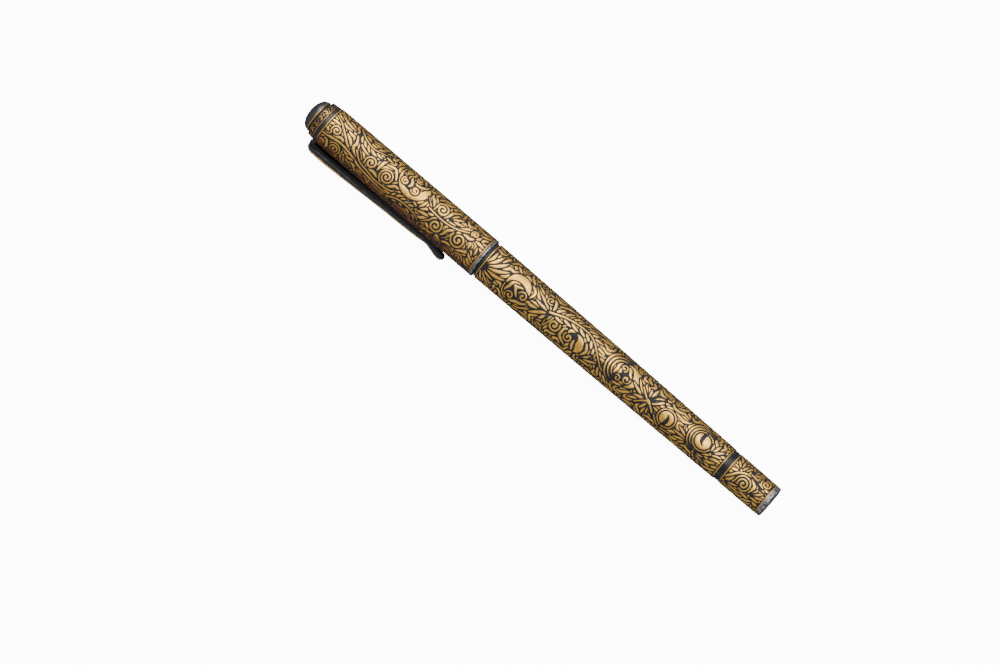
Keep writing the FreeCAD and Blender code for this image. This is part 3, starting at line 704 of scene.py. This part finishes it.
def sleeve_profile(stations, wall, pitch, inset=0.06 * MM):
    """A sleeve's half section: its outer line in small steps, and its inner line straight."""
    outer = []
    for (x0, r0), (x1, r1) in zip(stations[:-1], stations[1:]):
        count = max(1, round((x1 - x0) / pitch))
        outer += [(x0 + (x1 - x0) * k / count, r0 + (r1 - r0) * k / count) for k in range(count)]
    outer.append(stations[-1])
    inner = [(x, r - wall) for x, r in reversed(stations)]
    ends = (outer[0][0], outer[0][1] - inset), (outer[-1][0], outer[-1][1] - inset)
    return [ends[0], *outer[1:-1], ends[1], *inner]


def engraved_sleeve(settings, node, body, stations, pitch, draw, seed, shade_and_copper_tint=False, bands=()):
    """Puts an engraved sleeve in place of its CAD node."""
    middle = sum(r for _, r in stations) / len(stations)
    field = Engraving((stations[-1][0] - stations[0][0]) / MM, middle / MM, settings.cut / MM)
    repeat_behind(draw, field)
    for v in bands:
        field.scroll_band(v, 5.4, 0.9, 1.35)
    field.fill(random.Random(seed))
    field.edging()
    bm = lathe(sleeve_profile(stations, 0.40 * MM, pitch), round(2 * math.pi * middle / pitch))
    piece = add_piece(bm, node + "_engraved", body, "engraved_gilt", [node], 180)
    engrave(piece, field, stations, settings, shade_and_copper_tint)


def sweep(section, stations):
    """A bmesh drawn along stations, each a matrix that places the section. A section point is (across,
    outwards, gilding)."""
    bm = bmesh.new()
    gilding = bm.verts.layers.float.new("gilding")
    ring = []
    for across, outwards, gilt in section:
        vert = bm.verts.new(stations[0] @ Vector((0, across, outwards)))
        vert[gilding] = gilt
        ring.append(vert)
    edges = [bm.edges.new(pair) for pair in zip(ring, ring[1:] + ring[:1])]
    first = list(edges)
    for before, after in zip(stations[:-1], stations[1:]):
        grown = bmesh.ops.extrude_edge_only(bm, edges=edges)["geom"]
        edges = [item for item in grown if isinstance(item, bmesh.types.BMEdge)]
        fresh = [item for item in grown if isinstance(item, bmesh.types.BMVert)]
        bmesh.ops.transform(bm, matrix=after @ before.inverted(), verts=fresh)
    for rim in (first, edges):
        bmesh.ops.edgeloop_fill(bm, edges=rim)
    bmesh.ops.recalc_face_normals(bm, faces=bm.faces)
    return bm


# ---------------------------------------------------------------- operators

class PenOperator:
    """What the operators share."""
    bl_options = {"REGISTER", "UNDO"}


class AddFinishes(PenOperator, bpy.types.Operator):
    """Makes the materials and paints the CAD nodes that stay in view or inside"""
    bl_idname = "pen.finishes"
    bl_label = "Finishes"

    painted = {
        "turned_rubber": ("knob_core", "carrier_rod", "barrel_tube", "grip_section", "cap_tube"),
        "drawn_brass": ("spiral_tube", "nib_ferrule", "nib_clamp", "cap_grip_ring"),
        "ground_steel": ("drive_shaft", "knob_pin", "drive_pin", "crown_stud", "nib"),
        "black_lacquer": ("rear_bush", "clip_washer"),
        "stained_silver": ("mouth_ring",),
    }

    def execute(self, context):
        make_materials(context.scene.pen_colours)
        for finish, nodes in self.painted.items():
            for name in nodes:
                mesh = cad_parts[name].data
                mesh.materials.clear()
                mesh.materials.append(bpy.data.materials[finish])
        return {"FINISHED"}


class AddCapSleeve(PenOperator, bpy.types.Operator):
    """Adds the cap's engraved sleeve"""
    bl_idname = "pen.cap_sleeve"
    bl_label = "Cap sleeve"

    def execute(self, context):
        settings = context.scene.pen_engraving
        low, high, radius = span("cap_sleeve")
        stations = [(low, radius), (high, radius - 0.20 * MM)]
        # The True below gives the cap's gold its painted shade beside the clip.
        engraved_sleeve(settings, "cap_sleeve", "cap", stations, settings.cap_pitch, draw_cap,
                        settings.seed, True, (8.2, -8.2))
        return {"FINISHED"}


class AddBarrelSleeve(PenOperator, bpy.types.Operator):
    """Adds the barrel's engraved sleeve"""
    bl_idname = "pen.barrel_sleeve"
    bl_label = "Barrel sleeve"

    def execute(self, context):
        settings = context.scene.pen_engraving
        low, high, radius = span("barrel_sleeve")
        stations = [(low, radius - 0.65 * MM), (50 * MM, radius - 0.26 * MM), (high, radius)]
        engraved_sleeve(settings, "barrel_sleeve", "holder", stations, settings.barrel_pitch, draw_barrel,
                        settings.seed + 1, False, (7.4, -7.4))
        return {"FINISHED"}


class AddKnobSleeve(PenOperator, bpy.types.Operator):
    """Adds the knob's engraved sleeve"""
    bl_idname = "pen.knob_sleeve"
    bl_label = "Knob sleeve"

    def execute(self, context):
        settings = context.scene.pen_engraving
        low, high, radius = span("knob_sleeve")
        stations = [(low, radius - 0.07 * MM), (high, radius)]
        engraved_sleeve(settings, "knob_sleeve", "knob", stations, settings.knob_pitch, draw_knob,
                        settings.seed + 2, False, (6.6, -6.6))
        return {"FINISHED"}


class AddCrown(PenOperator, bpy.types.Operator):
    """Adds the crown: a chased ring, a bead line and a rubbed black dome"""
    bl_idname = "pen.crown"
    bl_label = "Crown"

    def execute(self, context):
        settings = context.scene.pen_engraving
        low, high, radius = span("crown_ring")
        bore = 1.6 * MM
        run = (high - low) / MM
        scrolls = 16
        field = Engraving(run, radius / MM, settings.cut / MM, 0.05)
        for k in range(scrolls):
            v = k * field.turn / scrolls
            side = 1 if k % 2 else -1
            middle = run - 0.95
            field.volute((middle, v), 0.52, 90 * side, side, 1.0, 0.13,
                         [(middle - 0.3 * side, v - 1.3), (middle + 0.55 * side, v - 0.5)])
            field.leaf((run - 0.6, v + 0.9), 200, 0.8, 0.3, 30)
        for u, half in ((run - 0.17, 0.10), (run - 1.66, 0.09), (0.17, 0.15)):
            depth = half - np.abs(np.arange(field.rows)[:, None] * field.u_step - u)
            field.field = np.maximum(np.minimum(field.field, -(depth + 0.1)), depth)
        outline = [(low, bore), (low, radius - 0.12 * MM), (low + 0.04 * MM, radius - 0.04 * MM)]
        outline += [(low + x * MM, radius - 0.17 * x * x / 2.5 * MM) for x in np.arange(0.1, 1.66, 0.05)]
        outline += [(low + x * MM, radius - fall * MM) for x, fall in (
            (1.68, 0.32), (1.75, 0.52), (1.82, 0.70), (1.90, 0.76), (2.12, 0.78), (2.20, 0.76), (2.26, 0.70),
            (2.34, 0.66), (2.44, 0.65), (2.52, 0.68), (2.57, 0.74))]
        outline += [(high, radius - 0.80 * MM), (high, bore)]
        piece = add_piece(lathe(outline, 320), "crown_ring_chased", "cap", "engraved_gilt",
                          ["crown_ring"])
        places = mesh_places(piece.data)
        angle = np.arctan2(places[:, 1], places[:, 2])
        gold = field.at((high - places[:, 0]) / MM, angle * field.turn / (2 * math.pi))
        set_attribute(piece.data, "gilding", np.clip(gold, -0.5, 0.4))
        set_attribute(piece.data, "shade_and_copper_tint", np.full(len(gold), 0.3))
        low, high, radius = span("crown_dome")
        steps = 26
        curve = [(high - (high - low) * (1 - math.cos(math.pi / 2 * k / steps)),
                  radius * math.sin(math.pi / 2 * k / steps)) for k in range(steps + 1)]
        bm = lathe([*curve, (low, 0)], 128, False)
        add_piece(bm, "crown_dome_rubbed", "cap", "rubbed_steel", ["crown_dome"])
        return {"FINISHED"}


class AddRings(PenOperator, bpy.types.Operator):
    """Adds the cap's lip, the dark ring in front of the knob and the band at the tail"""
    bl_idname = "pen.rings"
    bl_label = "Rings"

    def execute(self, context):
        low, high, radius = span("cap_lip_ring")
        bore = 4.45 * MM
        lip = [(low, bore), (low, radius - 0.22 * MM), (low + 0.22 * MM, radius), (high - 0.14 * MM, radius),
               (high, radius - 0.14 * MM), (high, bore)]
        bm = lathe(lip, 160)
        soften(bm, 0.06 * MM)
        add_piece(bm, "cap_lip_rounded", "cap", "stained_silver", ["cap_lip_ring"])
        low, high, radius = span("knob_front_ring")
        bore = 1.9 * MM
        ring = [(low, bore), (low, radius - 0.05 * MM), (low + 0.05 * MM, radius), (low + 0.28 * MM, radius),
                (low + 0.36 * MM, radius - 0.14 * MM), (low + 0.44 * MM, radius - 0.14 * MM),
                (low + 0.52 * MM, radius), (high - 0.05 * MM, radius), (high, radius - 0.05 * MM),
                (high, bore)]
        bm = lathe(ring, 160)
        soften(bm, 0.03 * MM)
        add_piece(bm, "knob_ring_grooved", "knob", "black_lacquer", ["knob_front_ring"])
        low, high, radius = span("knob_end_disc")
        face = [(low, 0), (low, 1.2 * MM), (low + 0.06 * MM, 1.3 * MM), (low + 0.06 * MM, 1.4 * MM),
                (low, 1.5 * MM), (low, 3.2 * MM), (low + 0.08 * MM, 3.3 * MM), (low + 0.08 * MM, 3.4 * MM),
                (low, 3.5 * MM), (low, radius - 0.25 * MM), (low + 0.25 * MM, radius),
                (high - 0.1 * MM, radius), (high, radius - 0.1 * MM), (high, 0)]
        bm = lathe(face, 160, False)
        soften(bm, 0.04 * MM)
        add_piece(bm, "tail_disc_turned", "knob", "stained_silver", ["knob_end_disc"])
        return {"FINISHED"}


class AddClip(PenOperator, bpy.types.Operator):
    """Adds the springy clip blade with its gilt edge lines"""
    bl_idname = "pen.clip"
    bl_label = "Clip"

    def execute(self, context):
        # Places along the pen and heights off its axis, in millimetres, from the hinge to the tip.
        thick = 1.3
        root = 137.0
        root_height = 6.2
        root_round = 0.455
        course = smooth([(137.05, 5.75), (137.05, 6.2), (136.72, 6.66), (136.1, 7.0), (135.3, 7.12),
                         (134.3, 7.15), (131.5, 7.2), (125.4, 6.9), (116.0, 6.47), (106.6, 6.2),
                         (103.4, 6.08), (100.9, 5.94), (99.2, 6.36), (97.4, 6.87), (95.6, 7.0)], 0.35)
        stations = []
        for k, (x, height) in enumerate(course):
            ahead = course[min(k + 1, len(course) - 1)] - course[max(k - 1, 0)]
            ahead = ahead / np.hypot(*ahead)
            run = x - course[-1][0]
            half = np.interp(run, [0, 0.12, 0.5, 1.0, 1.6, 34.4], [0.55, 1.0, 1.45, 1.62, 1.7, 2.2]) * MM
            from_root = max(0.0, root_height - height) if x > root else 0.0
            slim = math.sqrt(max(0.02, 1 - (from_root / root_round) ** 2))
            slim *= np.interp(run, [0, 0.25, 0.6, 5.3, 11, 40.4, 41.3], [0.35, 0.65, 0.77, 0.77, 1, 1, 0.69])
            # Partly painted shadow: near the hinge the blade is made deeper towards the cap, so that its
            # black side fills the gap between blade and cap. This stands partly for the blade's inner face
            # and partly for the shadow under the clip.
            deeper = np.interp(x, [122, 130, 134.6, 136], [0, 0.5, 0.5, 0]) * (height > 6.8)
            height -= deeper / 2
            slim += deeper / thick
            along = Vector((ahead[0], *(ahead[1] * CLIP_SIDE)[1:]))
            out = Vector((ahead[1], *(-ahead[0] * CLIP_SIDE)[1:]))
            columns = Matrix((along, CLIP_ACROSS * half, out * (thick * MM) * slim)).transposed().to_4x4()
            columns.translation = Vector((x * MM, *(height * MM * CLIP_SIDE)[1:]))
            stations.append(columns)
        corner = [(-0.94, 0.5), (-0.98, 0.46), (-1, 0.38), (-1, 0.30), (-1, 0.22), (-1, 0.14), (-1, 0.02),
                  (-1, -0.2), (-1, -0.40), (-0.97, -0.47), (-0.90, -0.5)]
        outer = [(w, 0.5) for w in np.linspace(0.84, -0.84, 13)]
        left = [(-w, o) for w, o in reversed(corner)]
        inner = [(w, -0.5 + 0.34 * max(0, 1 - abs(w / 0.74) ** 6)) for w in np.linspace(-0.84, 0.84, 21)]
        section = []
        for w, o in [*outer, *corner, *inner, *left]:
            domed = o - 0.14 * w * w if o > 0.4 else o - 0.13 * (o > 0) * (o / 0.46)
            line = 0.15 - abs(o - 0.30) if abs(w) > 0.93 else -0.4
            section.append((w, domed, line))
        bm = sweep(section, stations)
        add_piece(bm, "clip_blade_gilt_edged", "clip", "gilded_lacquer", ["clip_blade"], 60)
        return {"FINISHED"}


class AddStage(PenOperator, bpy.types.Operator):
    """Adds the paper, the soft lights and the camera"""
    bl_idname = "pen.stage"
    bl_label = "Stage"

    def execute(self, context):
        settings = context.scene.pen_stage
        scene = context.scene
        bm = bmesh.new()
        bmesh.ops.create_grid(bm, x_segments=2, y_segments=2, size=settings.floor_size / 2)
        bmesh.ops.translate(bm, verts=bm.verts, vec=PEN_MIDDLE + Vector((0, 0, PAPER_HEIGHT)))
        mesh = bpy.data.meshes.new("paper")
        bm.to_mesh(mesh)
        bm.free()
        mesh.materials.append(paper_material(settings.floor, settings.glow))
        paper = bpy.data.objects.new("paper", mesh)
        scene.collection.objects.link(paper)
        paper.visible_diffuse = False
        paper.visible_glossy = False
        sky = bpy.data.worlds.new("white_room")
        sky.use_nodes = True
        tree = sky.node_tree
        heights = tree.nodes.new("ShaderNodeSeparateXYZ")
        tree.links.new(tree.nodes.new("ShaderNodeTexCoord").outputs["Generated"], heights.inputs["Vector"])
        fade = tree.nodes.new("ShaderNodeMapRange")
        tree.links.new(heights.outputs["Z"], fade.inputs["Value"])
        limits = (("From Min", -0.8), ("From Max", 0.1), ("To Min", 0.17), ("To Max", settings.room))
        for name, value in limits:
            fade.inputs[name].default_value = value
        tree.links.new(fade.outputs["Result"], tree.nodes["Background"].inputs["Strength"])
        tree.nodes["Background"].inputs["Color"].default_value = (0.95, 0.97, 1.0, 1.0)
        scene.world = sky
        for name, place, size, power in (("overhead", (0.05, -0.35, 0.85), (1.0, 0.6), 9),
                                         ("window", (0.5, -0.7, 0.5), (0.5, 0.4), 6)):
            lamp = bpy.data.lights.new(name, "AREA")
            lamp.shape = "RECTANGLE"
            lamp.size, lamp.size_y = size
            lamp.energy = power
            light = bpy.data.objects.new(name, lamp)
            light.location = place
            light.rotation_euler = (Vector(place) - PEN_MIDDLE).to_track_quat("Z", "Y").to_euler()
            scene.collection.objects.link(light)
        lens = bpy.data.cameras.new("camera")
        eye = Vector((0.0005 - settings.camera_past_tail, -0.0002, settings.camera_height))
        aim = Vector((0.0739, 0.0108, 0))
        back = (eye - aim).normalized()
        picture_up = Vector((0.6525, -0.7578, 0))
        across = picture_up.cross(back).normalized()
        turned = Matrix((across, back.cross(across), back)).transposed().to_4x4()
        turned.translation = eye
        lens.sensor_width = 36
        lens.lens = lens.sensor_width * (eye - aim).length / settings.view_width
        lens.clip_start = 0.01
        camera = bpy.data.objects.new("camera", lens)
        camera.matrix_world = turned
        scene.collection.objects.link(camera)
        scene.camera = camera
        return {"FINISHED"}


# ---------------------------------------------------------------- the add-on

STEPS = (AddFinishes, AddCapSleeve, AddBarrelSleeve, AddKnobSleeve, AddCrown, AddRings, AddClip, AddStage)


class PEN_PT_pieces(bpy.types.Panel):
    """Lists the pen's pieces and its settings"""
    bl_label = "Engraved pen holder"
    bl_space_type = "VIEW_3D"
    bl_region_type = "UI"
    bl_category = "Pen"

    def draw(self, context):
        for step in STEPS:
            self.layout.operator(step.bl_idname)
        for group in (context.scene.pen_engraving, context.scene.pen_colours, context.scene.pen_stage):
            column = self.layout.box().column()
            for name in group.__annotations__:
                column.prop(group, name)


CLASSES = (EngravingSettings, ColourSettings, StageSettings, *STEPS, PEN_PT_pieces)


def register():
    for item in CLASSES:
        bpy.utils.register_class(item)
    bpy.types.Scene.pen_engraving = bpy.props.PointerProperty(type=EngravingSettings)
    bpy.types.Scene.pen_colours = bpy.props.PointerProperty(type=ColourSettings)
    bpy.types.Scene.pen_stage = bpy.props.PointerProperty(type=StageSettings)


def unregister():
    del bpy.types.Scene.pen_stage
    del bpy.types.Scene.pen_colours
    del bpy.types.Scene.pen_engraving
    for item in reversed(CLASSES):
        bpy.utils.unregister_class(item)


def main():
    register()
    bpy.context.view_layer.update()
    bpy.ops.pen.finishes()
    bpy.ops.pen.cap_sleeve()
    bpy.ops.pen.barrel_sleeve()
    bpy.ops.pen.knob_sleeve()
    bpy.ops.pen.crown()
    bpy.ops.pen.rings()
    bpy.ops.pen.clip()
    bpy.ops.pen.stage()


if __name__ == "__main__":
    main()
